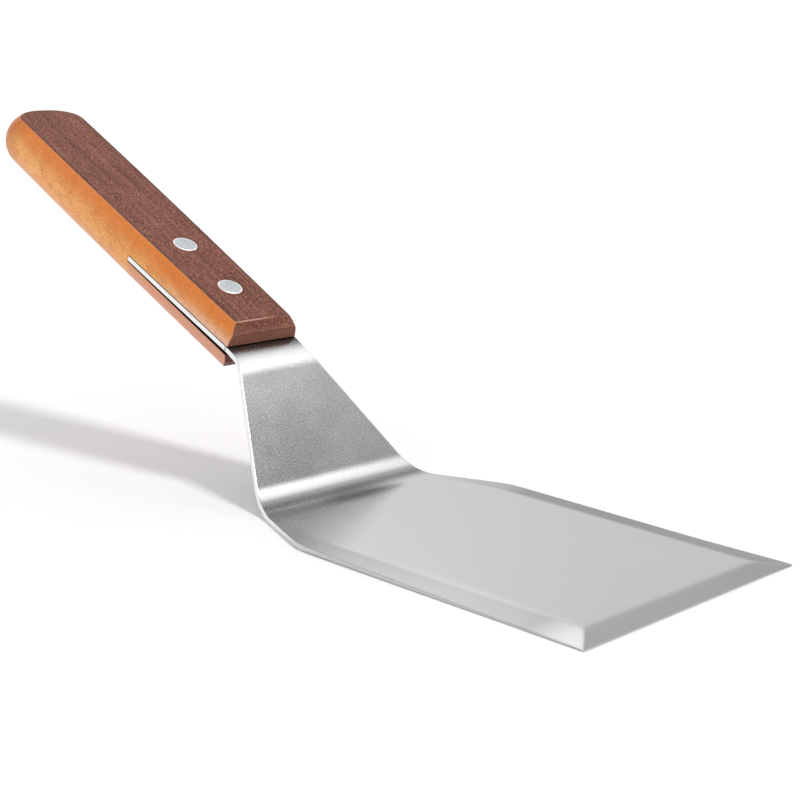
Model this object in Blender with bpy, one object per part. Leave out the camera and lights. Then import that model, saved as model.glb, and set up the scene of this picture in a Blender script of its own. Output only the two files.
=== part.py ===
"""Grill spatula: one bent stainless steel blade, a slotted hardwood handle and two cutler's rivets.

Lengths are metres. +X points to the front edge of the blade, +Z is up and the object is the same on
both sides of the plane Y = 0. The flat underside of the blade lies on Z = 0, and the origin is at the
middle of its length. The blade, its cranked shank and the tang inside the handle are one piece of
sheet. Each rivet has two halves: a socket whose tube passes through handle and tang, and a post that
is pressed into the tube from below.
"""
import math

import bmesh
import bpy
from mathutils import Vector

# ---- driving dimensions -------------------------------------------------------------------------

# Sheet
SHEET = 0.0015                  # thickness of the steel
BEND_RADIUS = 0.015             # of both bends, at the middle of the sheet
SHANK_ANGLE = math.radians(50.4)
TANG_ANGLE = math.radians(26.0)

# Plan of the sheet: reaches run forward from the vertex of the lower bend
BLADE_REACH = 0.1183
SHOULDER_REACH = 0.0280
SHANK_LENGTH = 0.04475          # from one bend's vertex to the other's
FRONT_WIDTH = 0.0762
SHOULDER_WIDTH = 0.0769
SHANK_LOW_WIDTH = 0.0560        # at the vertex of the lower bend
SHANK_HIGH_WIDTH = 0.0246       # at the vertex of the upper bend
SHOULDER_SOFTNESS = 0.0004      # how far the shoulder's corner is rounded off

# Ground bevels on the upper side of the blade
EDGE_THICKNESS = 0.0003         # left at the front and along the front half of the sides
SIDE_BEVEL_FRONT = 0.0085       # width of the side bevel at the front
SIDE_BEVEL_REAR = 0.0066        # and at the shoulder
FRONT_BEVEL = 0.0066
BEVEL_START_REACH = 0.0030      # the side bevel fades out here
SHOULDER_EDGE_THICKNESS = 0.00135
FULL_BEVEL_REACH = 0.0920       # in front of here the side edge is at its thinnest

# Handle, measured back from its front face along the tang
HANDLE_SETBACK = 0.0056         # from the vertex of the upper bend to the front face
HANDLE_LENGTH = 0.1291
HANDLE_THICKNESS = 0.0151
FACE_WIDTH_FRONT = 0.0188       # of the flat top and bottom faces
FACE_WIDTH_REAR = 0.0222
FULL_WIDTH_AT = 0.115
SIDE_SWELL_FRONT = 0.0029       # how far each side bulges past the flat faces
SIDE_SWELL_REAR = 0.0036
FULL_SWELL_AT = 0.050
FRONT_CHAMFER_LENGTH = 0.0022
FRONT_CHAMFER_HEIGHT = 0.0030
BUTT_CORNER_LENGTH = 0.0060
BUTT_CORNER_WIDTH = 0.0095

# Slot and tang
SLOT_LENGTH = 0.0502
FIT_GAP = 0.0003                # between pieces that touch
SLOT_GAP_BELOW_FRONT = 0.0010   # the saw cut opens towards the front under the tang

# Rivets
RIVET_SETBACKS = (0.0190, 0.0430)
HEAD_RADIUS = 0.0037
HEAD_THICKNESS = 0.0012
HEAD_PROUD = 0.0002
HEAD_EDGE = 0.0003
TUBE_RADIUS = 0.0023
POST_RADIUS = 0.00145
TUBE_END_CLEARANCE = 0.0009     # from the tube's end to the post's head, and from the post's end to the roof

# How finely curves are cut
BEND_STEPS = 10
ROUND_STEPS = 32
SIDE_STEPS = 12
CORNER_STEPS = 7
SWELL_STEPS = 8

# ---- derived dimensions -------------------------------------------------------------------------

UPPER_BEND_TURN = SHANK_ANGLE - TANG_ANGLE
LOWER_TANGENT = BEND_RADIUS * math.tan(SHANK_ANGLE / 2)
UPPER_TANGENT = BEND_RADIUS * math.tan(UPPER_BEND_TURN / 2)
LOWER_ARC = BEND_RADIUS * SHANK_ANGLE
UPPER_ARC = BEND_RADIUS * UPPER_BEND_TURN
FLAT_LENGTH = BLADE_REACH - LOWER_TANGENT
SHANK_STRAIGHT = SHANK_LENGTH - LOWER_TANGENT - UPPER_TANGENT
TANG_IN_SLOT = SLOT_LENGTH - FIT_GAP
TANG_STRAIGHT = HANDLE_SETBACK + TANG_IN_SLOT - UPPER_TANGENT

FRONT_X = FLAT_LENGTH / 2
LOWER_VERTEX = Vector((FRONT_X - BLADE_REACH, 0.0, SHEET / 2))
SHANK_DIRECTION = Vector((-math.cos(SHANK_ANGLE), 0.0, math.sin(SHANK_ANGLE)))
TANG_DIRECTION = Vector((-math.cos(TANG_ANGLE), 0.0, math.sin(TANG_ANGLE)))
UPPER_VERTEX = LOWER_VERTEX + SHANK_DIRECTION * SHANK_LENGTH
HANDLE_FRONT = UPPER_VERTEX + TANG_DIRECTION * HANDLE_SETBACK

HALF_THICKNESS = HANDLE_THICKNESS / 2
CHAMFER_LEVEL = HALF_THICKNESS - FRONT_CHAMFER_HEIGHT
SEAT_DEPTH = HEAD_THICKNESS - HEAD_PROUD + FIT_GAP
SEAT_RADIUS = HEAD_RADIUS + FIT_GAP
BORE_RADIUS = TUBE_RADIUS + FIT_GAP
TUBE_BORE_RADIUS = POST_RADIUS + FIT_GAP

# Lengths along the sheet, measured back from its front edge
LOWER_BEND_AT = FLAT_LENGTH
SHANK_AT = LOWER_BEND_AT + LOWER_ARC
UPPER_BEND_AT = SHANK_AT + SHANK_STRAIGHT
TANG_AT = UPPER_BEND_AT + UPPER_ARC
HANDLE_AT = TANG_AT + HANDLE_SETBACK - UPPER_TANGENT
SHEET_END = TANG_AT + TANG_STRAIGHT


# ---- small helpers ------------------------------------------------------------------------------

def mix(low, high, share):
    """Return the value a share of the way from low to high, held between the two."""
    return low + (high - low) * min(1.0, max(0.0, share))


def clear_scene():
    """Remove every object that a new file starts with."""
    for thing in list(bpy.data.objects):
        bpy.data.objects.remove(thing, do_unlink=True)


def make_material(name, colour, roughness, metallic):
    """Return a Principled material of one colour."""
    material = bpy.data.materials.new(name)
    material.use_nodes = True
    shader = material.node_tree.nodes["Principled BSDF"]
    shader.inputs["Base Color"].default_value = (*colour, 1.0)
    shader.inputs["Roughness"].default_value = roughness
    shader.inputs["Metallic"].default_value = metallic
    return material


def add_object(name, bm, material, smooth_degrees=35.0):
    """Turn a bmesh into an object of the scene, with faces pointing out."""
    bmesh.ops.recalc_face_normals(bm, faces=bm.faces)
    mesh = bpy.data.meshes.new(name)
    bm.to_mesh(mesh)
    bm.free()
    mesh.shade_smooth()
    mesh.set_sharp_from_angle(angle=math.radians(smooth_degrees))
    if material is not None:
        mesh.materials.append(material)
    thing = bpy.data.objects.new(name, mesh)
    bpy.context.scene.collection.objects.link(thing)
    return thing


def place_on_handle(thing, setback):
    """Move an object modelled around the tang's middle plane to its place along the handle."""
    thing.location = HANDLE_FRONT + TANG_DIRECTION * setback
    thing.rotation_euler = (0.0, TANG_ANGLE, 0.0)


def turned(name, profile, material):
    """Spin a profile of (radius, height) points about Z; both of its ends lie on the axis."""
    bm = bmesh.new()
    points = [bm.verts.new((radius, 0.0, height)) for radius, height in profile]
    edges = [bm.edges.new(pair) for pair in zip(points, points[1:])]
    bmesh.ops.spin(bm, geom=points + edges, cent=(0, 0, 0), axis=(0, 0, 1), dvec=(0, 0, 0),
                   angle=math.tau, steps=ROUND_STEPS, use_merge=True)
    bmesh.ops.remove_doubles(bm, verts=bm.verts, dist=0.00001)
    return add_object(name, bm, material)


def cutter(name, bm):
    """Make a bmesh into a cutter: a wire guide that is not part of the model."""
    thing = add_object(name, bm, None)
    thing.hide_render = True
    thing.display_type = 'WIRE'
    return thing


def subtract(thing, tool):
    """Cut the tool out of an object with a live Boolean."""
    modifier = thing.modifiers.new(f"cut_{tool.name}", 'BOOLEAN')
    modifier.operation = 'DIFFERENCE'
    modifier.object = tool


# ---- sheet --------------------------------------------------------------------------------------

def sheet_frame(length):
    """Return the middle of the sheet and its slope, a length back from the front edge."""
    flat = min(length, LOWER_BEND_AT)
    place = Vector((FRONT_X - flat, 0.0, SHEET / 2))
    turn = min(max(length - LOWER_BEND_AT, 0.0), LOWER_ARC) / BEND_RADIUS
    place += Vector((-math.sin(turn), 0.0, 1.0 - math.cos(turn))) * BEND_RADIUS
    place += SHANK_DIRECTION * min(max(length - SHANK_AT, 0.0), SHANK_STRAIGHT)
    slope = turn
    fall = min(max(length - UPPER_BEND_AT, 0.0), UPPER_ARC) / BEND_RADIUS
    if fall > 0.0:
        slope = SHANK_ANGLE - fall
        place += Vector((math.sin(slope) - math.sin(SHANK_ANGLE), 0.0,
                         math.cos(slope) - math.cos(SHANK_ANGLE))) * BEND_RADIUS
    place += TANG_DIRECTION * max(length - TANG_AT, 0.0)
    return place, slope


def face_half_width(setback):
    """Half width of the handle's flat faces; it grows along a quarter sine towards the butt."""
    share = math.sin(math.pi / 2 * min(1.0, max(0.0, setback / FULL_WIDTH_AT)))
    return mix(FACE_WIDTH_FRONT, FACE_WIDTH_REAR, share) / 2


def side_swell(setback, level):
    """How far the handle's round side stands out past its flat faces at one level."""
    swell = mix(SIDE_SWELL_FRONT, SIDE_SWELL_REAR, setback / FULL_SWELL_AT)
    radius = (HALF_THICKNESS ** 2 + swell ** 2) / (2 * swell)
    return math.sqrt(radius ** 2 - level ** 2) - math.sqrt(radius ** 2 - HALF_THICKNESS ** 2)


def sheet_half_width(length):
    """Half width of the sheet, a length back from its front edge."""
    if length > HANDLE_AT:
        setback = length - HANDLE_AT
        return face_half_width(setback) + side_swell(setback, 0.0)
    shoulder_at = BLADE_REACH - SHOULDER_REACH
    lower_vertex_at = LOWER_BEND_AT + LOWER_ARC / 2
    upper_vertex_at = UPPER_BEND_AT + UPPER_ARC / 2
    if length > upper_vertex_at:
        tang_start = face_half_width(0.0) + side_swell(0.0, 0.0)
        share = (length - upper_vertex_at) / (HANDLE_AT - upper_vertex_at)
        return mix(SHANK_HIGH_WIDTH / 2, tang_start, share)
    if length > lower_vertex_at:
        share = (length - lower_vertex_at) / (upper_vertex_at - lower_vertex_at)
        return mix(SHANK_LOW_WIDTH, SHANK_HIGH_WIDTH, share) / 2
    slope = (SHOULDER_WIDTH - SHANK_LOW_WIDTH) / 2 / (lower_vertex_at - shoulder_at)
    shoulder_line = SHANK_LOW_WIDTH / 2 + slope * (lower_vertex_at - length)
    side_line = mix(FRONT_WIDTH, SHOULDER_WIDTH, length / shoulder_at) / 2
    middle = (shoulder_line + side_line) / 2
    return middle - math.hypot((shoulder_line - side_line) / 2, SHOULDER_SOFTNESS)


def side_bevel(length):
    """Width of the ground side bevel and the thickness it leaves at the edge."""
    reach = BLADE_REACH - length
    width = mix(SIDE_BEVEL_REAR, SIDE_BEVEL_FRONT,
                (reach - SHOULDER_REACH) / (BLADE_REACH - SHOULDER_REACH))
    if reach < SHOULDER_REACH:
        share = (reach - BEVEL_START_REACH) / (SHOULDER_REACH - BEVEL_START_REACH)
        return mix(SIDE_BEVEL_REAR / 4, width, share), mix(SHEET, SHOULDER_EDGE_THICKNESS, share)
    share = (reach - SHOULDER_REACH) / (FULL_BEVEL_REACH - SHOULDER_REACH)
    return width, mix(SHOULDER_EDGE_THICKNESS, EDGE_THICKNESS, share)


def sheet_stations():
    """Return the lengths along the sheet at which its cross-section is set."""
    shoulder_at = BLADE_REACH - SHOULDER_REACH
    stations = [0.0, FRONT_BEVEL, BLADE_REACH - FULL_BEVEL_REACH]
    stations += [mix(stations[-1], shoulder_at, share) for share in (0.3, 0.6, 0.85)]
    stations += [shoulder_at + offset for offset in (-0.004, -0.002, 0.0, 0.002, 0.004)]
    stations += [mix(shoulder_at + 0.004, LOWER_BEND_AT, share) for share in (0.35, 0.7)]
    stations += [LOWER_BEND_AT + LOWER_ARC * step / BEND_STEPS for step in range(BEND_STEPS + 1)]
    stations += [SHANK_AT + SHANK_STRAIGHT / 2]
    stations += [UPPER_BEND_AT + UPPER_ARC * step / BEND_STEPS for step in range(BEND_STEPS + 1)]
    stations += [HANDLE_AT + TANG_IN_SLOT * step / SIDE_STEPS for step in range(SIDE_STEPS + 1)]
    return stations


def sheet_section(length):
    """Return one cross-section: four points of the upper side, then four of the underside."""
    place, slope = sheet_frame(length)
    normal = Vector((math.sin(slope), 0.0, math.cos(slope)))
    half = sheet_half_width(length)
    bevel, edge = side_bevel(length)
    inner_drop = SHEET - EDGE_THICKNESS if length == 0.0 else 0.0
    edge_drop = max(SHEET - edge, inner_drop)
    upper = []
    for side, drop in ((-half, edge_drop), (bevel - half, inner_drop),
                       (half - bevel, inner_drop), (half, edge_drop)):
        upper.append(place + Vector((0.0, side, 0.0)) + normal * (SHEET / 2 - drop))
    under = [place + Vector((0.0, side, 0.0)) - normal * (SHEET / 2)
             for side in (-half, bevel - half, half - bevel, half)]
    return upper + under


def sheet_mesh():
    """Loft the blade, shank and tang through their cross-sections."""
    bm = bmesh.new()
    rings = [[bm.verts.new(point) for point in sheet_section(length)] for length in sheet_stations()]
    for index, (near, far) in enumerate(zip(rings, rings[1:])):
        if index == 0:
            # the front bevel meets the side bevels on a mitre from the corner of the sheet
            for face in ((near[0], far[1], far[0]), (near[0], near[1], far[1]),
                         (near[2], near[3], far[2]), (near[3], far[3], far[2])):
                bm.faces.new(face)
        else:
            bm.faces.new((near[0], near[1], far[1], far[0]))
            bm.faces.new((near[2], near[3], far[3], far[2]))
        bm.faces.new((near[1], near[2], far[2], far[1]))
        for left, right in ((5, 4), (6, 5), (7, 6)):
            bm.faces.new((near[left], near[right], far[right], far[left]))
        bm.faces.new((near[4], near[0], far[0], far[4]))
        bm.faces.new((near[3], near[7], far[7], far[3]))
    first, last = rings[0], rings[-1]
    for column in range(3):
        bm.faces.new((first[column], first[column + 4], first[column + 5], first[column + 1]))
        bm.faces.new((last[column + 1], last[column + 5], last[column + 4], last[column]))
    return bm


def make_blade(material):
    """Make the sheet with its two rivet holes."""
    blade = add_object("blade", sheet_mesh(), material, smooth_degrees=20.0)
    for number, setback in enumerate(RIVET_SETBACKS):
        bm = bmesh.new()
        bmesh.ops.create_cone(bm, cap_ends=True, segments=ROUND_STEPS, radius1=BORE_RADIUS,
                              radius2=BORE_RADIUS, depth=SHEET * 6)
        tool = cutter(f"tang_hole_cutter_{number}", bm)
        place_on_handle(tool, setback)
        subtract(blade, tool)
    return blade


# ---- handle -------------------------------------------------------------------------------------

def front_setback(level):
    """Where the handle starts at one level: its front edges are chamfered above and below."""
    past = max(0.0, abs(level) - CHAMFER_LEVEL)
    return past / FRONT_CHAMFER_HEIGHT * FRONT_CHAMFER_LENGTH


def handle_outline(level):
    """Return the handle's plan at one level, from the front along -Y, round the butt and back."""
    start = front_setback(level)
    corner_at = HANDLE_LENGTH - BUTT_CORNER_LENGTH
    side = []
    for step in range(SIDE_STEPS):
        setback = mix(start, corner_at, step / SIDE_STEPS)
        side.append((setback, face_half_width(setback) + side_swell(setback, level)))
    swell = side_swell(corner_at, level)
    half = face_half_width(corner_at) + swell
    for step in range(CORNER_STEPS + 1):
        angle = math.pi / 2 * step / CORNER_STEPS
        side.append((corner_at + (BUTT_CORNER_LENGTH + swell) * math.sin(angle),
                     half - (BUTT_CORNER_WIDTH + swell) * (1.0 - math.cos(angle))))
    near = [Vector((-setback, -width, level)) for setback, width in side]
    return near + [Vector((point.x, -point.y, level)) for point in reversed(near)]


def handle_mesh():
    """Stack the handle's plans from its bottom face to its top face."""
    levels = [CHAMFER_LEVEL * step / SWELL_STEPS for step in range(-SWELL_STEPS, SWELL_STEPS + 1)]
    rim = [CHAMFER_LEVEL + FRONT_CHAMFER_HEIGHT / 2, HALF_THICKNESS]
    levels = [-level for level in reversed(rim)] + levels + rim
    bm = bmesh.new()
    rings = [[bm.verts.new(point) for point in handle_outline(level)] for level in levels]
    for low, high in zip(rings, rings[1:]):
        for index in range(len(low)):
            after = (index + 1) % len(low)
            bm.faces.new((low[index], low[after], high[after], high[index]))
    bm.faces.new(list(reversed(rings[0])))
    bm.faces.new(rings[-1])
    return bm


def slot_cutter():
    """Make the saw cut for the tang: level above, opening slightly towards the front below."""
    reach = SHEET                       # how far the cutter runs out past the front face
    wide = FACE_WIDTH_REAR
    top = SHEET / 2 + FIT_GAP
    drop_per_length = (SLOT_GAP_BELOW_FRONT - FIT_GAP) / SLOT_LENGTH
    bottom_rear = -SHEET / 2 - FIT_GAP
    bottom_front = bottom_rear - drop_per_length * (SLOT_LENGTH + reach)
    profile = ((reach, bottom_front), (reach, top), (-SLOT_LENGTH, top), (-SLOT_LENGTH, bottom_rear))
    bm = bmesh.new()
    face = bm.faces.new([bm.verts.new((x, -wide, z)) for x, z in profile])
    swept = bmesh.ops.extrude_face_region(bm, geom=[face])
    moved = [item for item in swept["geom"] if isinstance(item, bmesh.types.BMVert)]
    bmesh.ops.translate(bm, verts=moved, vec=(0.0, 2 * wide, 0.0))
    tool = cutter("slot_cutter", bm)
    place_on_handle(tool, 0.0)
    return tool


def bore_cutter(number, setback):
    """Make a stepped cutter: a bore for the rivet's tube and a seat for each of its heads."""
    seat = HALF_THICKNESS - SEAT_DEPTH
    past = HALF_THICKNESS + SEAT_DEPTH
    profile = ((0.0, past), (SEAT_RADIUS, past), (SEAT_RADIUS, seat), (BORE_RADIUS, seat),
               (BORE_RADIUS, -seat), (SEAT_RADIUS, -seat), (SEAT_RADIUS, -past), (0.0, -past))
    tool = turned(f"bore_cutter_{number}", profile, None)
    tool.hide_render = True
    tool.display_type = 'WIRE'
    place_on_handle(tool, setback)
    return tool


def make_handle(material):
    """Make the one-piece wooden handle with its saw cut and stepped rivet bores."""
    handle = add_object("handle", handle_mesh(), material)
    place_on_handle(handle, 0.0)
    subtract(handle, slot_cutter())
    for number, setback in enumerate(RIVET_SETBACKS):
        subtract(handle, bore_cutter(number, setback))
    return handle


# ---- rivets -------------------------------------------------------------------------------------

def head_profile(sign):
    """Outer corners of a rivet head: its flat face, a broken edge and its shoulder."""
    face = HALF_THICKNESS + HEAD_PROUD
    return [(0.0, sign * face), (HEAD_RADIUS - HEAD_EDGE, sign * face),
            (HEAD_RADIUS, sign * (face - HEAD_EDGE / 2)), (HEAD_RADIUS, sign * (face - HEAD_THICKNESS))]


def make_socket(name, setback, material):
    """Make the upper half of a rivet: a head with a tube that is open at its lower end."""
    under_head = HALF_THICKNESS + HEAD_PROUD - HEAD_THICKNESS
    tube_end = -under_head + TUBE_END_CLEARANCE
    profile = head_profile(1.0)
    profile += [(TUBE_RADIUS, under_head), (TUBE_RADIUS, tube_end), (TUBE_BORE_RADIUS, tube_end),
                (TUBE_BORE_RADIUS, under_head), (0.0, under_head)]
    place_on_handle(turned(name, profile, material), setback)


def make_post(name, setback, material):
    """Make the lower half of a rivet: a head with a solid post that fills the tube."""
    under_head = HALF_THICKNESS + HEAD_PROUD - HEAD_THICKNESS
    post_end = under_head - TUBE_END_CLEARANCE
    profile = [(0.0, post_end), (POST_RADIUS - HEAD_EDGE, post_end), (POST_RADIUS, post_end - HEAD_EDGE),
               (POST_RADIUS, -under_head)]
    profile += reversed(head_profile(-1.0))
    place_on_handle(turned(name, profile, material), setback)


def main():
    """Build the spatula."""
    clear_scene()
    steel = make_material("brushed_stainless_steel", (0.56, 0.56, 0.57), 0.32, 1.0)
    wood = make_material("oiled_hardwood", (0.36, 0.15, 0.075), 0.45, 0.0)
    rivet_metal = make_material("rivet_aluminium", (0.68, 0.68, 0.69), 0.30, 1.0)
    make_blade(steel)
    make_handle(wood)
    for label, setback in zip(("front", "rear"), RIVET_SETBACKS):
        make_socket(f"rivet_{label}_socket", setback, rivet_metal)
        make_post(f"rivet_{label}_post", setback, rivet_metal)


main()
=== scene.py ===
"""Grill spatula: the finished look of a bent stainless blade, a slotted beech handle and its rivets.

Lengths are metres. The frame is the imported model's: +X points to the front edge of the blade, +Z is
up, the tool is the same on both sides of Y = 0, and the blade's underside lies on Z = 0.
"""
import logging
import math
from dataclasses import dataclass, field
from enum import Enum
from typing import Any

import bmesh
import bpy
import numpy as np
from mathutils import Matrix, Vector


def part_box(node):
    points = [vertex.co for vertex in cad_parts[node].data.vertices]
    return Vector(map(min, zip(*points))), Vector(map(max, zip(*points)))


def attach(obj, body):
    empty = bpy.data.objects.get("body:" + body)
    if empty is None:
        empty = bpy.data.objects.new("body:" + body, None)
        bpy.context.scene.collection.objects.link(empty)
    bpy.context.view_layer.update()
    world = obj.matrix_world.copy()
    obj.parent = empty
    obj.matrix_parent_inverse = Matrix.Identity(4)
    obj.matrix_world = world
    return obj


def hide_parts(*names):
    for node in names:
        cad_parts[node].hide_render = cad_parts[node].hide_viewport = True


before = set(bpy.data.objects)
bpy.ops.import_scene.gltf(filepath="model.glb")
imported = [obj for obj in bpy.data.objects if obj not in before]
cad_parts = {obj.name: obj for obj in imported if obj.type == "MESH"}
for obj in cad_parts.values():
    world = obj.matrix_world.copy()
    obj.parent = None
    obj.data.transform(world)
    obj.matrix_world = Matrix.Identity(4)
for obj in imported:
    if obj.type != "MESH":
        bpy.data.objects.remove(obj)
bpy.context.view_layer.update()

LOG = logging.getLogger("grill_spatula")
MM = 0.001
Array = np.ndarray
Material = bpy.types.Material
Piece = bpy.types.Object
Socket = bpy.types.NodeSocket
Tree = bpy.types.NodeTree


# ---- colour, node and mesh helpers --------------------------------------------------------------

def linear(code: str) -> tuple[float, float, float, float]:
    """Turn an sRGB hex code into a linear colour.

    Args:
        code: Six hex digits, such as "e6904b".

    Returns:
        Linear red, green and blue, and an alpha of one.
    """
    values = []
    for start in (0, 2, 4):
        share = int(code[start:start + 2], 16) / 255
        values.append(share / 12.92 if share <= 0.04045 else ((share + 0.055) / 1.055) ** 2.4)
    return (values[0], values[1], values[2], 1.0)


def fill(tree: Tree, node: bpy.types.Node, inputs: dict[Any, Any]) -> None:
    """Set each named or numbered input of a node to its value, or link it to its output socket."""
    for name, value in inputs.items():
        if isinstance(value, Socket):
            tree.links.new(value, node.inputs[name])
        else:
            node.inputs[name].default_value = value


def add_node(tree: Tree, kind: str, inputs: dict[Any, Any] | None = None,
             **settings: Any) -> bpy.types.Node:
    """Add a node, set its properties and fill or link its inputs.

    Args:
        tree: The material's or world's node tree.
        kind: The node's type, such as "ShaderNodeMath".
        inputs: Input name or number to a value, or to the output socket that feeds it.
        **settings: Properties of the node itself.

    Returns:
        The new node.
    """
    node = tree.nodes.new(kind)
    for name, value in settings.items():
        setattr(node, name, value)
    fill(tree, node, inputs or {})
    return node


def ramp(tree: Tree, factor: Socket, stops: list[tuple[float, str]]) -> Socket:
    """Colour a factor through a ramp of (position, sRGB hex) stops and return the colour socket."""
    node = add_node(tree, "ShaderNodeValToRGB", {0: factor})
    while len(node.color_ramp.elements) < len(stops):
        node.color_ramp.elements.new(1.0)
    for element, (position, code) in zip(node.color_ramp.elements, stops):
        element.position = position
        element.color = linear(code)
    return node.outputs[0]


def fade(tree: Tree, value: Socket, low: float, high: float,
         start: float = 0.0, end: float = 1.0) -> Socket:
    """Map a value from low..high to start..end with a smooth step and return the result's socket."""
    node = add_node(tree, "ShaderNodeMapRange", {0: value, 1: low, 2: high, 3: start, 4: end},
                    interpolation_type="SMOOTHSTEP")
    return node.outputs[0]


def mix_colour(tree: Tree, factor: Any, first: Any, second: Any) -> Socket:
    """Mix two colours, each a socket, a linear colour or an sRGB hex code, and return the socket."""
    first, second = (linear(colour) if isinstance(colour, str) else colour for colour in (first, second))
    node = add_node(tree, "ShaderNodeMix", {0: factor, 6: first, 7: second}, data_type="RGBA")
    return node.outputs[2]


def math_node(tree: Tree, how: str, *values: Any) -> Socket:
    """Apply a Math operation to one, two or three values and return the result's socket."""
    return add_node(tree, "ShaderNodeMath", dict(enumerate(values)), operation=how).outputs[0]


def lumps(tree: Tree, place: Socket, size: tuple[float, float, float], detail: float = 2.0,
          **inputs: float) -> Socket:
    """Return a noise whose lumps have these sizes, in metres, along the directions of the place."""
    scaled = add_node(tree, "ShaderNodeMapping", {0: place, 3: tuple(1 / side for side in size)}).outputs[0]
    return add_node(tree, "ShaderNodeTexNoise",
                    {0: scaled, "Scale": 1.0, "Detail": detail, **inputs}).outputs[0]


def new_material(name: str) -> tuple[Material, Tree, bpy.types.Node]:
    """Make a material and return it with its node tree and its Principled shader."""
    material = bpy.data.materials.new(name)
    material.use_nodes = True
    tree = material.node_tree
    return material, tree, tree.nodes["Principled BSDF"]


def make_piece(name: str, points: Array, faces: list[list[int]], uv: Array | None = None,
               marks: dict[str, Array] | None = None, sharp: float = 40.0) -> Piece:
    """Put whole arrays of points and faces into a smooth-shaded mesh object at the origin.

    Args:
        name: The piece's name.
        points: An (n, 3) array of places in the tool's frame.
        faces: Point numbers of each face.
        uv: An (n, 2) array with each point's place on the surface, in metres, or None.
        marks: Name of each attribute that a finish reads, to its value at each point, 0 to 1.
        sharp: Edges that turn more than this many degrees stay sharp.

    Returns:
        The object, with its faces pointing outwards.
    """
    mesh = bpy.data.meshes.new(name)
    mesh.from_pydata(points.tolist(), [], faces)
    corners = np.empty(len(mesh.loops), dtype=np.int32)
    mesh.loops.foreach_get("vertex_index", corners)
    if uv is not None:
        layer = mesh.uv_layers.new(name="surface")
        layer.data.foreach_set("uv", uv[corners].astype(np.float32).ravel())
    for label, values in (marks or {}).items():
        attribute = mesh.attributes.new(label, "FLOAT", "POINT")
        attribute.data.foreach_set("value", values.astype(np.float32).ravel())
    bm = bmesh.new()
    bm.from_mesh(mesh)
    bmesh.ops.recalc_face_normals(bm, faces=bm.faces)
    bm.to_mesh(mesh)
    bm.free()
    mesh.shade_smooth()
    mesh.set_sharp_from_angle(angle=math.radians(sharp))
    piece = bpy.data.objects.new(name, mesh)
    bpy.context.scene.collection.objects.link(piece)
    return piece


def cut(piece: Piece, tools: list[Piece]) -> None:
    """Subtract closed tools from a piece for good, and remove the tools."""
    for tool in tools:
        modifier = piece.modifiers.new(tool.name, "BOOLEAN")
        modifier.operation = "DIFFERENCE"
        modifier.object = tool
    settle(piece)
    for tool in tools:
        bpy.data.objects.remove(tool)


def settle(piece: Piece) -> None:
    """Turn a piece's modifiers into its mesh."""
    evaluated = piece.evaluated_get(bpy.context.evaluated_depsgraph_get())
    mesh = bpy.data.meshes.new_from_object(evaluated, preserve_all_data_layers=True,
                                           depsgraph=bpy.context.evaluated_depsgraph_get())
    mesh.name = piece.name
    piece.modifiers.clear()
    piece.data = mesh


def ring_faces(rows: int, columns: int, closed: bool) -> Array:
    """Return the quads of a grid of points that is numbered row by row.

    Args:
        rows: How many rows of points the grid has.
        columns: How many points each row has.
        closed: Whether each row joins up into a ring.

    Returns:
        An (n, 4) array of point numbers.
    """
    row, column = np.meshgrid(np.arange(rows - 1), np.arange(columns if closed else columns - 1),
                              indexing="ij")
    after = (column + 1) % columns
    quads = np.stack([row * columns + column, row * columns + after,
                      (row + 1) * columns + after, (row + 1) * columns + column], axis=-1)
    return quads.reshape(-1, 4)


def turned(name: str, profile: Array, segments: int, rim: Array | None = None) -> Piece:
    """Turn a profile about Z: each point (radius, height) goes round a full circle.

    Args:
        name: The piece's name.
        profile: An (n, 2) array of radius and height; both ends lie on the axis.
        segments: How many steps go round the circle.
        rim: The "rim" attribute at each point of the profile, or None.

    Returns:
        A closed piece with its axis on Z and a single point at each pole.
    """
    turn = np.linspace(0.0, math.tau, segments, endpoint=False)
    inner = profile[1:-1]
    rings = np.stack([inner[:, :1] * np.cos(turn), inner[:, :1] * np.sin(turn),
                      np.repeat(inner[:, 1:], segments, axis=1)], axis=-1).reshape(-1, 3)
    poles = np.array([[0.0, 0.0, profile[0, 1]], [0.0, 0.0, profile[-1, 1]]])
    faces = ring_faces(len(inner), segments, closed=True).tolist()
    after = np.roll(np.arange(segments), -1)
    last = len(rings) - segments
    top, bottom = len(rings), len(rings) + 1
    faces += [[top, int(b), int(a)] for a, b in enumerate(after)]
    faces += [[bottom, last + a, last + int(b)] for a, b in enumerate(after)]
    marks = None
    if rim is not None:
        marks = {"rim": np.concatenate([np.repeat(rim[1:-1], segments), rim[[0, -1]]])}
    return make_piece(name, np.vstack([rings, poles]), faces, marks=marks, sharp=35.0)


# ---- finishes -----------------------------------------------------------------------------------

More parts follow.
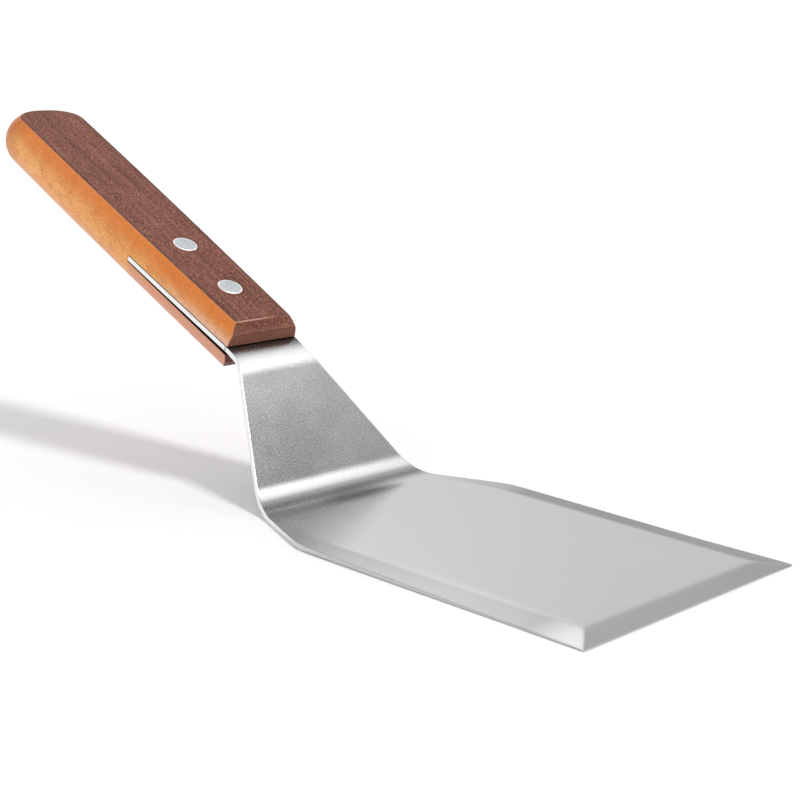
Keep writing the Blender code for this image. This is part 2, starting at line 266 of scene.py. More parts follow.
@dataclass(frozen=True)
class BrushedStainless:
    """Stainless steel sheet, belt-brushed along its length: soft bands of light across the brushing,
    fine short streaks along it and a greyer satin where the bevels are ground, deepened by painted
    shade. A painted highlight lies on the near rim, painted shade on the tang beside the handle and a
    painted dark reflection in the lower bend."""

    name: str = "brushed_stainless_304"
    sheet_tone: str = "cccccc"
    streak_tone: str = "bebebf"
    # Grey of the ground bevels, darkened further by painted shade where the ground mask carries it.
    ground_and_shade_tone: str = "8c8c8d"
    # Painted highlight on the rim: the near arris and the near bevel's front corner.
    rim_highlight_tone: str = "f2f2f2"
    roughness: float = 0.25
    roughness_swing: float = 0.04
    ground_extra: float = 0.03
    rim_roughness: float = 0.42
    streak_width: float = 0.22 * MM     # real belt lines are finer; this is the finest that shows
    streak_length: float = 0.55 * MM
    long_streak: float = 8.0            # the few longer lines are this many times as long
    cloud_size: float = 16.0 * MM
    bump_depth: float = 0.010 * MM
    bump_strength: float = 0.22
    anisotropy: float = 0.5
    line_share: float = 0.20            # of the brushing that the longer lines make up
    brushing_span: tuple[float, float] = (0.36, 0.64)
    blade_grain: float = 0.12           # the blade is linished this much finer than the shank
    blade_until: float = 97.0 * MM
    shank_from: float = 108.0 * MM
    # Painted shade on the tang as it goes into the handle: a cold dark grey over the last few millimetres.
    handle_shade_from: float = 163.8 * MM
    handle_shade_until: float = 167.0 * MM
    handle_shade_tone: str = "566a6c"
    handle_shade_strength: float = 0.85
    # A painted dark reflection: a soft oval of dark grey in the lower bend, placed by its middle and size
    # across and along the sheet.
    dark_reflection_at: tuple[float, float] = (1.0 * MM, 112.2 * MM)
    dark_reflection_size: tuple[float, float] = (21.0 * MM, 6.5 * MM)
    dark_reflection_tone: str = "6c6c6d"
    dark_reflection_strength: float = 0.75

    def material(self) -> Material:
        """Build the material; its pattern follows the sheet's own length and width through both bends."""
        material, tree, shader = new_material(self.name)
        uv = add_node(tree, "ShaderNodeUVMap", uv_map="surface").outputs[0]
        streaks = self.streaks(tree, uv, self.streak_length)
        lines = self.streaks(tree, uv, self.streak_length * self.long_streak)
        brushing = math_node(tree, "MULTIPLY_ADD", lines, self.line_share,
                             math_node(tree, "MULTIPLY", streaks, 1.0 - self.line_share))
        back = add_node(tree, "ShaderNodeSeparateXYZ", {0: uv}).outputs["Y"]
        grain = fade(tree, back, self.blade_until, self.shank_from, self.blade_grain, 1.0)
        brushing = math_node(tree, "MULTIPLY_ADD", math_node(tree, "SUBTRACT", brushing, 0.5), grain, 0.5)
        clouds = add_node(tree, "ShaderNodeTexNoise", {0: uv, "Scale": 1 / self.cloud_size,
                                                       "Detail": 2.0}).outputs[0]
        ground = add_node(tree, "ShaderNodeAttribute", attribute_name="ground").outputs["Fac"]
        rim = add_node(tree, "ShaderNodeAttribute", attribute_name="rim").outputs["Fac"]
        tone = mix_colour(tree, fade(tree, brushing, *self.brushing_span), self.streak_tone, self.sheet_tone)
        # The ground mask is partly the grinding's grey and partly painted shade: stronger on the far bevel
        # and far arris, and graded across the front bevel.
        tone = mix_colour(tree, ground, tone, self.ground_and_shade_tone)
        # Painted highlight: the rim mark is bright along the near arris and towards the near bevel's front
        # corner.
        tone = mix_colour(tree, rim, tone, self.rim_highlight_tone)
        # Painted shade on the tang beside the handle, kept off the highlighted rim.
        handle_shade = fade(tree, back, self.handle_shade_from, self.handle_shade_until, 0.0, self.handle_shade_strength)
        handle_shade = math_node(tree, "MULTIPLY", handle_shade, math_node(tree, "SUBTRACT", 1.0, rim))
        tone = mix_colour(tree, handle_shade, tone, self.handle_shade_tone)
        # Painted dark reflection in the lower bend.
        dark_reflection_place = add_node(tree, "ShaderNodeMapping", {
            0: uv, 1: (*self.dark_reflection_at, 0.0), 3: (*self.dark_reflection_size, 1.0)},
            vector_type="TEXTURE").outputs[0]
        apart = add_node(tree, "ShaderNodeVectorMath", {0: dark_reflection_place}, operation="LENGTH").outputs["Value"]
        tone = mix_colour(tree, fade(tree, apart, 0.15, 1.0, self.dark_reflection_strength, 0.0), tone,
                          self.dark_reflection_tone)
        rough = fade(tree, brushing, *self.brushing_span, self.roughness - self.roughness_swing,
                     self.roughness + self.roughness_swing)
        rough = math_node(tree, "ADD", rough, fade(tree, clouds, 0.35, 0.65, -0.01, 0.01))
        rough = math_node(tree, "MULTIPLY_ADD", ground, self.ground_extra, rough)
        rough = add_node(tree, "ShaderNodeMix", {0: rim, 2: rough, 3: self.rim_roughness}).outputs[0]
        bump = add_node(tree, "ShaderNodeBump", {"Strength": self.bump_strength,
                                                 "Distance": self.bump_depth,
                                                 "Height": brushing}).outputs[0]
        tangent = add_node(tree, "ShaderNodeTangent", direction_type="UV_MAP",
                           uv_map="surface").outputs[0]
        fill(tree, shader, {"Metallic": 1.0, "Anisotropic": self.anisotropy, "Base Color": tone,
                            "Roughness": rough, "Normal": bump, "Tangent": tangent})
        return material

    def streaks(self, tree: Tree, uv: Socket, length: float) -> Socket:
        """Return a noise drawn out into lines of this length along the sheet."""
        return lumps(tree, uv, (self.streak_width, length, 1.0), Roughness=0.6)


@dataclass(frozen=True)
class HandleShape:
    """The sizes that the handle's mesh and its wood finish share."""

    length: float = 129.08 * MM
    thickness: float = 15.1 * MM
    front_face_width: float = 18.8 * MM
    rear_face_width: float = 22.2 * MM
    full_width_at: float = 115.0 * MM
    chamfer_length: float = 2.2 * MM
    chamfer_height: float = 3.0 * MM
    slot_length: float = 50.2 * MM
    rivet_setbacks: tuple[float, float] = (19.0 * MM, 43.0 * MM)
    rivet_radius: float = 3.7 * MM


@dataclass(frozen=True)
class OiledBeech:
    """Red-stained, oiled beech: dull brown sawn faces with a fine dark speckle, and sanded round
    sides where the oil brings out a warm amber, deepest along the top, with a painted reflection
    of the floor that leaves them paler low down and a painted highlight near the front. The near
    corners and arrises carry a painted highlight, and painted shade darkens the faces along their
    edges, round the rivets and in the saw cut."""

    origin: Vector = field(default_factory=Vector)
    tilt: float = 0.0
    shape: HandleShape = field(default_factory=HandleShape)
    name: str = "red_stained_oiled_beech"
    face_tones: tuple[str, str, str] = ("43241b", "764435", "9f6a58")
    # Painted shade on the flat faces: along their edges, a dark line on the far side and butt, and a dark
    # ring round each rivet.
    painted_edge_shade_tone: str = "4b2f28"
    side_tones: tuple[str, str, str] = ("d8843a", "f5a958", "ffc27a")
    upper_tone: str = "df772a"
    fleck_tone: str = "a0501f"
    # Painted reflection of the floor, paler low on the sides.
    low_reflection_tone: str = "dc9366"
    # Painted highlight on the side just above the slot, near the front.
    front_highlight_tone: str = "efc0a8"
    butt_tone: str = "b9662f"
    tongue_tone: str = "d78f72"
    # Painted highlight on the near arrises and corners.
    painted_highlight_tone: str = "e3b79c"
    pore_tone: str = "40231b"
    # Painted shade inside the saw cut.
    slot_shade_tone: str = "21120d"
    face_roughness: float = 0.65
    side_roughness: float = 0.45
    pore_length: float = 1.4 * MM
    pore_width: float = 0.25 * MM       # real beech pores are finer; this is the finest that shows
    figure_size: float = 6.0 * MM
    fleck_size: float = 0.6 * MM
    speck_size: float = 0.32 * MM
    arris: float = 0.30 * MM
    # Painted shade: the dark ring round a rivet stands where the gap round its head would be shaded.
    ring_from: float = 0.15 * MM        # of the dark ring, past a rivet's head
    ring_until: float = 0.55 * MM
    coat: float = 0.22
    coat_roughness: float = 0.28

    def material(self) -> Material:
        """Build the material in the handle's own directions: X along the grain, Z through it."""
        material, tree, shader = new_material(self.name)
        place = add_node(tree, "ShaderNodeTexCoord").outputs["Object"]
        along = add_node(tree, "ShaderNodeMapping", {0: place, 1: self.origin,
                                                     2: (0.0, self.tilt, 0.0)},
                         vector_type="TEXTURE").outputs[0]
        parts = add_node(tree, "ShaderNodeSeparateXYZ", {0: along})
        setback = math_node(tree, "MULTIPLY", parts.outputs["X"], -1.0)
        height = parts.outputs["Z"]
        sawn, painted_edge_highlight, painted_edge_shade = self.edges(tree, setback, parts.outputs["Y"], height)
        speck = lumps(tree, along, (self.speck_size * 1.4, self.speck_size, self.speck_size), 1.0)
        fleck = lumps(tree, along, (self.fleck_size * 1.5, self.fleck_size, self.fleck_size), 3.0)
        pores = lumps(tree, along, (self.pore_length, self.pore_width, self.pore_width), 1.0)

        face = self.face_colour(tree, along, speck)
        # Painted light: the upper half of the front face is lightened towards the palest face brown.
        front = fade(tree, setback, 1.2 * MM, 0.2 * MM, 0.0, 0.3)
        upper = fade(tree, height, -1 * MM, 0.0)
        face = mix_colour(tree, math_node(tree, "MULTIPLY", front, upper), face, self.face_tones[2])
        # Painted shade along the faces' edges and round the rivets.
        face = mix_colour(tree, painted_edge_shade, face, self.painted_edge_shade_tone)
        side = self.side_colour(tree, along, setback, height, fleck, speck)
        colour = mix_colour(tree, sawn, side, face)
        colour = mix_colour(tree, fade(tree, pores, 0.66, 0.74, 0.0, 0.30), colour, self.pore_tone)
        # Painted highlight on the near arrises and corners.
        colour = mix_colour(tree, painted_edge_highlight, colour, self.painted_highlight_tone)
        # Painted shade on the saw cut's roof and floor.
        colour = mix_colour(tree, self.in_slot(tree, height), colour, self.slot_shade_tone)

        rough = add_node(tree, "ShaderNodeMix", {0: sawn, 2: self.side_roughness,
                                                 3: self.face_roughness}).outputs[0]
        rough = math_node(tree, "ADD", rough, fade(tree, fleck, 0.3, 0.7, -0.04, 0.05))
        relief = math_node(tree, "SUBTRACT", speck, fade(tree, pores, 0.62, 0.72))
        bump = add_node(tree, "ShaderNodeBump", {"Strength": 0.35, "Distance": 0.05 * MM,
                                                 "Height": relief}).outputs[0]
        coat = fade(tree, sawn, 0.0, 1.0, self.coat, 0.0)
        fill(tree, shader, {"IOR": 1.5, "Specular IOR Level": 0.25, "Base Color": colour,
                            "Roughness": rough, "Normal": bump, "Coat Weight": coat,
                            "Coat Roughness": self.coat_roughness})
        return material

    def in_slot(self, tree: Tree, height: Socket) -> Socket:
        """Return 1 on the saw cut's roof and floor, which face square to the tang, else 0; there painted
        shade darkens the slot.
        """
        normal = add_node(tree, "ShaderNodeNewGeometry").outputs["True Normal"]
        square = (math.sin(self.tilt), 0.0, math.cos(self.tilt))
        facing = add_node(tree, "ShaderNodeVectorMath", {0: normal, 1: square},
                          operation="DOT_PRODUCT").outputs["Value"]
        flat = fade(tree, math_node(tree, "ABSOLUTE", facing), 0.35, 0.75)
        near = fade(tree, math_node(tree, "ABSOLUTE", height), 2.6 * MM, 2.2 * MM)
        return math_node(tree, "MULTIPLY", flat, near)

    def face_colour(self, tree: Tree, along: Socket, speck: Socket) -> Socket:
        """Return the sawn faces' brown: a fine speckle over faint grain lines and broad clouds."""
        grain = lumps(tree, along, (20 * MM, 0.8 * MM, 0.8 * MM), 3.0)
        clouds = lumps(tree, along, (26 * MM, 8 * MM, 8 * MM), 2.0)
        blend = math_node(tree, "MULTIPLY_ADD", speck, 0.64,
                          math_node(tree, "MULTIPLY_ADD", grain, 0.22,
                                    math_node(tree, "MULTIPLY", clouds, 0.14)))
        return ramp(tree, blend, [(0.37, self.face_tones[0]), (0.50, self.face_tones[1]),
                                  (0.63, self.face_tones[2])])

    def side_colour(self, tree: Tree, along: Socket,
                    setback: Socket, height: Socket,
                    fleck: Socket, speck: Socket) -> Socket:
        """Return the sanded sides' amber: flecks and soft swirls, deeper above, paler below where a painted
        reflection of the floor lies, with a painted highlight near the front.
        """
        half = self.shape.thickness / 2
        figure = lumps(tree, along, (self.figure_size * 1.6, self.figure_size,
                                          self.figure_size), 4.0, Distortion=1.6)
        blend = math_node(tree, "MULTIPLY_ADD", figure, 0.42,
                          math_node(tree, "MULTIPLY_ADD", fleck, 0.30,
                                    math_node(tree, "MULTIPLY", speck, 0.28)))
        side = ramp(tree, blend, [(0.34, self.side_tones[0]), (0.50, self.side_tones[1]),
                                  (0.66, self.side_tones[2])])
        side = mix_colour(tree, fade(tree, height, 0.1 * half, 0.85 * half, 0.0, 0.75), side,
                          self.upper_tone)
        flecks = math_node(tree, "MULTIPLY", fade(tree, fleck, 0.50, 0.68),
                           fade(tree, height, -0.5 * half, 0.5 * half, 0.10, 0.36))
        side = mix_colour(tree, flecks, side, self.fleck_tone)
        # Painted reflection of the floor: the sides paler low down.
        side = mix_colour(tree, fade(tree, height, -0.2 * half, -0.9 * half, 0.0, 0.6), side,
                          self.low_reflection_tone)
        back = fade(tree, setback, self.shape.length - 14 * MM, self.shape.length - 2 * MM, 0.0, 0.7)
        side = mix_colour(tree, back, side, self.butt_tone)
        # Painted highlight on the side just above the slot, near the front.
        painted_front_highlight = math_node(tree, "MULTIPLY", fade(tree, setback, 45 * MM, 4 * MM),
                         fade(tree, height, 4.5 * MM, 1.2 * MM, 0.0, 0.85))
        side = mix_colour(tree, painted_front_highlight, side, self.front_highlight_tone)
        slot = self.shape.slot_length
        tongue = math_node(tree, "MULTIPLY", fade(tree, setback, slot + 2 * MM, slot - 4 * MM),
                           fade(tree, height, -0.9 * MM, -1.7 * MM, 0.0, 0.85))
        grit = fade(tree, fleck, 0.40, 0.60, 0.26, 0.0)
        side = mix_colour(tree, grit, side, self.fleck_tone)
        return mix_colour(tree, tongue, side, self.tongue_tone)

    def edges(self, tree: Tree, setback: Socket,
              across: Socket, height: Socket
              ) -> tuple[Socket, Socket, Socket]:
        """Return masks of the sawn faces, a painted highlight on the near corners and arrises, and painted
        shade along the faces' edges and round the rivets.

        How near a place is to each sawn plane, from 0 past the arris to 1 on the plane, gives all
        three: the nearest plane is the sawn face, and two near planes make a corner.
        """
        shape, arris = self.shape, self.arris
        under_top = math_node(tree, "SUBTRACT", shape.thickness / 2,
                              math_node(tree, "ABSOLUTE", height))
        run, rise = shape.chamfer_length, shape.chamfer_height
        slant = math.hypot(run, rise)
        inside = math_node(tree, "MULTIPLY_ADD", setback, rise / slant,
                           math_node(tree, "MULTIPLY_ADD", under_top, run / slant, -run * rise / slant))
        flat = fade(tree, under_top, arris, arris / 4)
        chamfer = fade(tree, inside, arris, arris / 4)
        front = fade(tree, setback, arris, arris / 4)
        sawn = math_node(tree, "MAXIMUM", flat, math_node(tree, "MAXIMUM", chamfer, front))
        # Painted highlight on the chamfer's corners, strongest on the near side.
        corner = math_node(tree, "MULTIPLY", math_node(tree, "MULTIPLY", chamfer, flat),
                           fade(tree, across, -4 * MM, 7 * MM, 0.6, 0.05))
        rest = math_node(tree, "SUBTRACT", 1.0, sawn)
        band = math_node(tree, "MULTIPLY", sawn, rest)
        # Painted highlight along the near arrises.
        near = fade(tree, across, 3 * MM, -3 * MM, 0.0, 1.3)
        painted_edge_highlight = math_node(tree, "MULTIPLY_ADD", band, near, corner)
        share = add_node(tree, "ShaderNodeMapRange", {0: setback, 1: 0.0, 2: shape.full_width_at,
                                                      3: 0.0, 4: math.pi / 2}).outputs[0]
        wide = math_node(tree, "MULTIPLY_ADD", math_node(tree, "SINE", share),
                         (shape.rear_face_width - shape.front_face_width) / 2,
                         shape.front_face_width / 2)
        from_side = math_node(tree, "SUBTRACT", wide, math_node(tree, "ABSOLUTE", across))
        from_butt = math_node(tree, "SUBTRACT", shape.length, setback)
        nearest = math_node(tree, "MINIMUM", from_side, from_butt)
        # Painted shade: a dark line along the far side's and the butt's edge on the flat faces.
        far = fade(tree, across, -3 * MM, 3 * MM, 0.0, 0.9)
        outline = math_node(tree, "MULTIPLY", far, fade(tree, nearest, 0.7 * MM, 0.3 * MM))
        # Painted shade: the faces darker towards the side edges and butt.
        around = fade(tree, nearest, 1.3 * MM, 0.1 * MM, 0.0, 0.4)
        # Painted shade: a dark ring round each rivet head.
        for at in shape.rivet_setbacks:
            along = math_node(tree, "SUBTRACT", setback, at)
            apart = math_node(tree, "SQRT", math_node(
                tree, "MULTIPLY_ADD", along, along, math_node(tree, "MULTIPLY", across, across)))
            ring = fade(tree, apart, shape.rivet_radius + self.ring_from,
                        shape.rivet_radius + self.ring_until, 0.85, 0.0)
            around = math_node(tree, "MAXIMUM", around, ring)
        painted_edge_shade = math_node(tree, "MULTIPLY", flat, math_node(tree, "MAXIMUM", outline, around))
        return sawn, painted_edge_highlight, painted_edge_shade


@dataclass(frozen=True)
class LinishedRivet:
    """Aluminium rivet heads, sanded flush on a belt with the handle: pale, satin, with fine straight
    scratches and a painted highlight on the rim."""

    name: str = "linished_aluminium"
    tone: str = "e0e5e8"
    scratch_tone: str = "cdd4d8"
    # Painted highlight on the rim of each head.
    rim_highlight_tone: str = "fbfbfb"
    roughness: float = 0.42
    scratch_width: float = 0.35 * MM    # real belt scratches are finer; this still shows
    scratch_length: float = 2.5 * MM

    def material(self) -> Material:
        """Build the material; the scratches run along the tool."""
        material, tree, shader = new_material(self.name)
        place = add_node(tree, "ShaderNodeTexCoord").outputs["Object"]
        size = (self.scratch_length, self.scratch_width, self.scratch_width)
        scratches = lumps(tree, place, size)
        tone = mix_colour(tree, fade(tree, scratches, 0.35, 0.65), self.scratch_tone, self.tone)
        rim = add_node(tree, "ShaderNodeAttribute", attribute_name="rim").outputs["Fac"]
        # Painted highlight on the head's rim.
        tone = mix_colour(tree, rim, tone, self.rim_highlight_tone)
        rough = fade(tree, scratches, 0.3, 0.7, self.roughness - 0.05, self.roughness + 0.06)
        bump = add_node(tree, "ShaderNodeBump", {"Strength": 0.3, "Distance": 0.01 * MM,
                                                 "Height": scratches}).outputs[0]
        fill(tree, shader, {"Metallic": 1.0, "Base Color": tone, "Roughness": rough, "Normal": bump})
        return material


@dataclass(frozen=True)
class PaperSweep:
    """Matt white background paper under the tool."""

    name: str = "white_background_paper"
    tone: str = "f4f4f4"

    def material(self) -> Material:
        """Build the material."""
        material, tree, shader = new_material(self.name)
        fill(tree, shader, {"Base Color": linear(self.tone), "Roughness": 0.9, "Specular IOR Level": 0.1})
        return material


# ---- handle -------------------------------------------------------------------------------------

@dataclass
class SlottedHandle:
    """The one-piece handle: flat top and bottom, round sides, a rounded butt and a saw cut.

    Its own directions are X towards the blade along the tang, and Z square to the tang. Its own
    origin is the middle of its front face.
    """

    finish: OiledBeech
    origin: Vector
    tilt: float
    shape: HandleShape = field(default_factory=HandleShape)
    front_swell: float = 2.9 * MM
    rear_swell: float = 3.6 * MM
    full_swell_at: float = 50.0 * MM
    butt_corner_length: float = 6.0 * MM
    butt_corner_width: float = 9.5 * MM
    slot_above: float = 0.86 * MM
    slot_below_rear: float = 1.05 * MM
    slot_below_front: float = 1.75 * MM
    broken_edge: float = 0.28 * MM
    level_steps: int = 14
    slot_steps: int = 26
    side_steps: int = 30
    corner_steps: int = 22

    def face_half_width(self, setback: Array) -> Array:
        """Half width of the flat faces: a quarter sine that grows from the front to the butt."""
        share = np.sin(math.pi / 2 * np.clip(setback / self.shape.full_width_at, 0.0, 1.0))
        front, rear = self.shape.front_face_width, self.shape.rear_face_width
        return (front + (rear - front) * share) / 2

    def swell(self, setback: Array, level: Array) -> Array:
        """How far the side stands past the flat faces: the height of a circle's arc over its chord."""
        share = np.clip(setback / self.full_swell_at, 0.0, 1.0)
        height = self.front_swell + (self.rear_swell - self.front_swell) * share
        half = self.shape.thickness / 2
        radius = (half ** 2 + height ** 2) / (2 * height)
        return np.sqrt(radius ** 2 - level ** 2) - np.sqrt(radius ** 2 - half ** 2)

    def slot_floor(self, setback: Array) -> Array:
        """Level of the saw cut's lower wall, which falls in a straight line towards the front."""
        share = np.clip(setback / self.shape.slot_length, 0.0, 1.0)
        return -(self.slot_below_front + (self.slot_below_rear - self.slot_below_front) * share)

    def levels(self, setback: Array) -> tuple[Array, int]:
        """Levels of each row of the side at each column, and the number of the slot's lower row.

        The rows below the slot run from the bottom face to the slot's floor and those above it from
        its roof to the top face, in cosine steps in between, with a row on each chamfer's crease.
        """
        half = self.shape.thickness / 2
        crease = half - self.shape.chamfer_height
        rise = np.linspace(0.0, 1.0, self.level_steps)
        low_share = (half - crease) / (half - self.slot_below_front)
        low = np.sort(np.append(rise, low_share))[:, None]
        floor = self.slot_floor(setback)[None, :]
        below = -half + (floor + half) * low
        high_share = (crease - self.slot_above) / (half - self.slot_above)
        high = np.sort(np.append(rise, high_share))[:, None]
        above = self.slot_above + (half - self.slot_above) * high + 0.0 * floor
        return np.vstack([below, above]), len(low) - 1

    def side_points(self) -> tuple[Array, int, int]:
        """Return the -Y half of the surface as (rows, columns, 3), the slot's row and its column.

        A column is a place along the side and round the butt; a row is a level. The front edge of
        each row is set back where the chamfers cut it, and round the butt the plan is a quarter
        ellipse that grows outwards by the swell.
        """
        to_slot = self.shape.slot_length * np.linspace(0.0, 1.0, self.slot_steps)
        corner_at = self.shape.length - self.butt_corner_length
        to_corner = np.linspace(self.shape.slot_length, corner_at, self.side_steps)[1:-1]
        turn = np.linspace(0.0, math.pi / 2, self.corner_steps)
        nominal = np.concatenate([to_slot, to_corner, np.full(len(turn), corner_at)])
        level, slot_row = self.levels(nominal)
        past = np.maximum(0.0, np.abs(level) - (self.shape.thickness / 2 - self.shape.chamfer_height))
        start = past / self.shape.chamfer_height * self.shape.chamfer_length
        setback = nominal[None, :] + start * np.clip(1.0 - nominal / self.shape.slot_length, 0.0, 1.0)
        swell = self.swell(setback, level)
        width = self.face_half_width(setback) + swell
        bend = np.concatenate([np.zeros(len(nominal) - len(turn)), turn])[None, :]
        setback = setback + (self.butt_corner_length + swell) * np.sin(bend)
        width = width - (self.butt_corner_width + swell) * (1.0 - np.cos(bend))
        return np.stack([-setback, -width, level], axis=-1), slot_row, self.slot_steps - 1

    def place(self, points: Array) -> Array:
        """Carry points from the handle's own directions to the tool's frame."""
        turn = np.array(Matrix.Rotation(self.tilt, 3, "Y"))
        return points @ turn.T + np.array(self.origin)

    def surface(self) -> tuple[Array, list[list[int]]]:
        """Return the handle's points and faces: curved sides, flat faces and the slot's walls."""
        near, slot_row, slot_column = self.side_points()
        far = near[:, ::-1] * np.array([1.0, -1.0, 1.0])
        grid = np.concatenate([near, far], axis=1)
        rows, columns = grid.shape[:2]
        number = np.arange(rows * columns).reshape(rows, columns)
        quads = ring_faces(rows, columns, closed=False)
        row, column = quads[:, 0] // columns, quads[:, 0] % columns
        in_slot = (row == slot_row) & ((column < slot_column) | (column >= columns - 1 - slot_column))
        faces = quads[~in_slot].tolist()
        crease_low = int(np.argmin(np.abs(near[:slot_row, 0, 2] + self.shape.thickness / 2
                                          - self.shape.chamfer_height)))
        above = near[slot_row + 1:, 0, 2]
        crease_high = slot_row + 1 + int(np.argmin(np.abs(above - self.shape.thickness / 2
                                                          + self.shape.chamfer_height)))
        last = columns - 1
        for low, high in ((0, crease_low), (crease_low, slot_row), (slot_row + 1, crease_high),
                          (crease_high, rows - 1)):
            span = number[low:high + 1]
            faces.append(span[:, 0].tolist() + span[::-1, last].tolist())
        for wall in (slot_row, slot_row + 1):
            faces.append(number[wall, :slot_column + 1].tolist()
                         + number[wall, last - slot_column:].tolist())
        faces.append([int(number[slot_row, slot_column]), int(number[slot_row + 1, slot_column]),
                      int(number[slot_row + 1, last - slot_column]),
                      int(number[slot_row, last - slot_column])])
        faces += [number[0].tolist(), number[-1].tolist()]
        return self.place(grid.reshape(-1, 3)), faces

    def build(self, rivets: list["CutlersRivet"]) -> Piece:
        """Make the handle, bore it for its rivets, break its edges and dress it.

        Args:
            rivets: The rivets whose seats and bores it holds.

        Returns:
            The finished piece.
        """
        points, faces = self.surface()
        piece = make_piece("handle_body", points, faces, sharp=30.0)
        cut(piece, [rivet.bore_tool(number) for number, rivet in enumerate(rivets)])
        bevel = piece.modifiers.new("broken_edges", "BEVEL")
        bevel.width = self.broken_edge
        bevel.segments = 3
        bevel.limit_method = "ANGLE"
        bevel.angle_limit = math.radians(32.0)
        bevel.use_clamp_overlap = False
        bevel.harden_normals = True
        settle(piece)
        piece.data.materials.clear()
        piece.data.materials.append(self.finish.material())
        return piece


# ---- sheet --------------------------------------------------------------------------------------

@dataclass
class BentSheet:
    """The blade, cranked shank and tang: one strip of sheet with two bends and three ground bevels.

    A point on it is given by its length back from the front edge, along the middle of the sheet, and
    its distance from the middle line.
    """

    finish: BrushedStainless
    handle: SlottedHandle
    front_x: float
    thickness: float = 1.5 * MM
    bend_radius: float = 15.0 * MM
    upper_bend_radius: float = 25.0 * MM
    shank_angle: float = math.radians(50.4)
    tang_angle: float = math.radians(26.0)
    blade_reach: float = 118.3 * MM
    shoulder_reach: float = 28.0 * MM
    shank_length: float = 44.75 * MM
    front_width: float = 76.2 * MM
    shoulder_width: float = 76.89 * MM
    shank_low_width: float = 56.0 * MM
    shank_high_width: float = 24.6 * MM
    shoulder_softness: float = 0.4 * MM
    edge_thickness: float = 0.3 * MM
    side_bevel_front: float = 8.5 * MM
    side_bevel_rear: float = 6.6 * MM
    front_bevel: float = 6.6 * MM
    bevel_start_reach: float = 3.0 * MM
    shoulder_edge_thickness: float = 1.35 * MM
    full_bevel_reach: float = 92.0 * MM
    bevel_softness: float = 0.13
    near_mitre_softness: float = 0.02 * MM
    far_mitre_softness: float = 0.10 * MM
    # Painted shade on the bevels: how grey each one turns, the far side bevel more than the near, with a
    # darker line in the near bevel's crease and a gradient across the front bevel.
    near_shade: float = 0.64
    far_shade: float = 0.92
    front_shades: tuple[float, float] = (0.0, 0.60)
    crease_shade: float = 0.14
    crease_at: float = 0.10             # as a share of the side bevel's width
    crease_width: float = 0.12
    shade_share: float = 0.25           # of a bevel's width over which its grey comes in
    full_grey_depth: float = 0.3 * MM
    mitre_blend: float = 0.05 * MM
    # Painted highlights: on the near bevel towards the front corner, and along the near arris, fainter on
    # the blade than on the shank.
    corner_shine: float = 0.50
    blade_rim_highlight: float = 0.45
    shank_rim_highlight: float = 1.0
    highlight_from: float = 17.0 * MM
    highlight_to: float = 2.0 * MM
    arris: float = 0.16 * MM
    setback: float = 5.6 * MM
    fit_gap: float = 0.3 * MM
    upper_columns: int = 112
    under_columns: int = 36
    arris_steps: int = 3

    def __post_init__(self) -> None:
        """Work out where the bends start along the sheet."""
        turn = self.shank_angle - self.tang_angle
        self.lower_tangent = self.bend_radius * math.tan(self.shank_angle / 2)
        self.upper_tangent = self.upper_bend_radius * math.tan(turn / 2)
        self.lower_arc = self.bend_radius * self.shank_angle
        self.upper_arc = self.upper_bend_radius * turn
        self.lower_bend_at = self.blade_reach - self.lower_tangent
        self.shank_at = self.lower_bend_at + self.lower_arc
        self.straight = self.shank_length - self.lower_tangent - self.upper_tangent
        self.upper_bend_at = self.shank_at + self.straight
        self.tang_at = self.upper_bend_at + self.upper_arc
        self.handle_at = self.tang_at + self.setback - self.upper_tangent
        self.end = self.handle_at + self.handle.shape.slot_length - self.fit_gap

    def path(self, length: Array) -> tuple[Array, Array, Array]:
        """Follow the middle of the sheet: straight, arc, straight, arc, straight.

        Args:
            length: Distances back from the front edge.

        Returns:
            X, Z and slope at each distance.
        """
        turn = np.clip(length - self.lower_bend_at, 0.0, self.lower_arc) / self.bend_radius
        fall = np.clip(length - self.upper_bend_at, 0.0, self.upper_arc) / self.upper_bend_radius
        slope = turn - fall
        flat = np.minimum(length, self.lower_bend_at)
        shank = np.clip(length - self.shank_at, 0.0, self.straight)
        tang = np.maximum(length - self.tang_at, 0.0)
        steep = self.shank_angle
        x = (self.front_x - flat - self.bend_radius * np.sin(turn) - shank * math.cos(steep)
             + self.upper_bend_radius * (np.sin(steep - fall) - math.sin(steep))
             - tang * math.cos(self.tang_angle))
        z = (self.thickness / 2 + self.bend_radius * (1.0 - np.cos(turn)) + shank * math.sin(steep)
             + self.upper_bend_radius * (np.cos(steep - fall) - math.cos(steep))
             + tang * math.sin(self.tang_angle))
        return x, z, slope

    def half_width(self, length: Array) -> Array:
        """Half width of the strip: straight tapers, a rounded shoulder and a tang flush with the wood."""
        shoulder_at = self.blade_reach - self.shoulder_reach
        low_at = self.lower_bend_at + self.lower_arc / 2
        high_at = self.upper_bend_at + self.upper_arc / 2
        slope = (self.shoulder_width - self.shank_low_width) / 2 / (low_at - shoulder_at)
        shoulder = self.shank_low_width / 2 + slope * (low_at - length)
        side = (self.front_width + (self.shoulder_width - self.front_width)
                * np.clip(length / shoulder_at, 0.0, 1.0)) / 2
        blade = (shoulder + side) / 2 - np.hypot((shoulder - side) / 2, self.shoulder_softness)
        setback = length - self.handle_at
        flush = self.handle.face_half_width(setback) + self.handle.swell(setback, np.zeros_like(length))
        flush_start = float(self.handle.face_half_width(np.zeros(1))[0]
                            + self.handle.swell(np.zeros(1), np.zeros(1))[0])
        taper = np.interp(length, [low_at, high_at, self.handle_at],
                          [self.shank_low_width / 2, self.shank_high_width / 2, flush_start])
        return np.where(length > self.handle_at, flush, np.where(length > low_at, taper, blade))

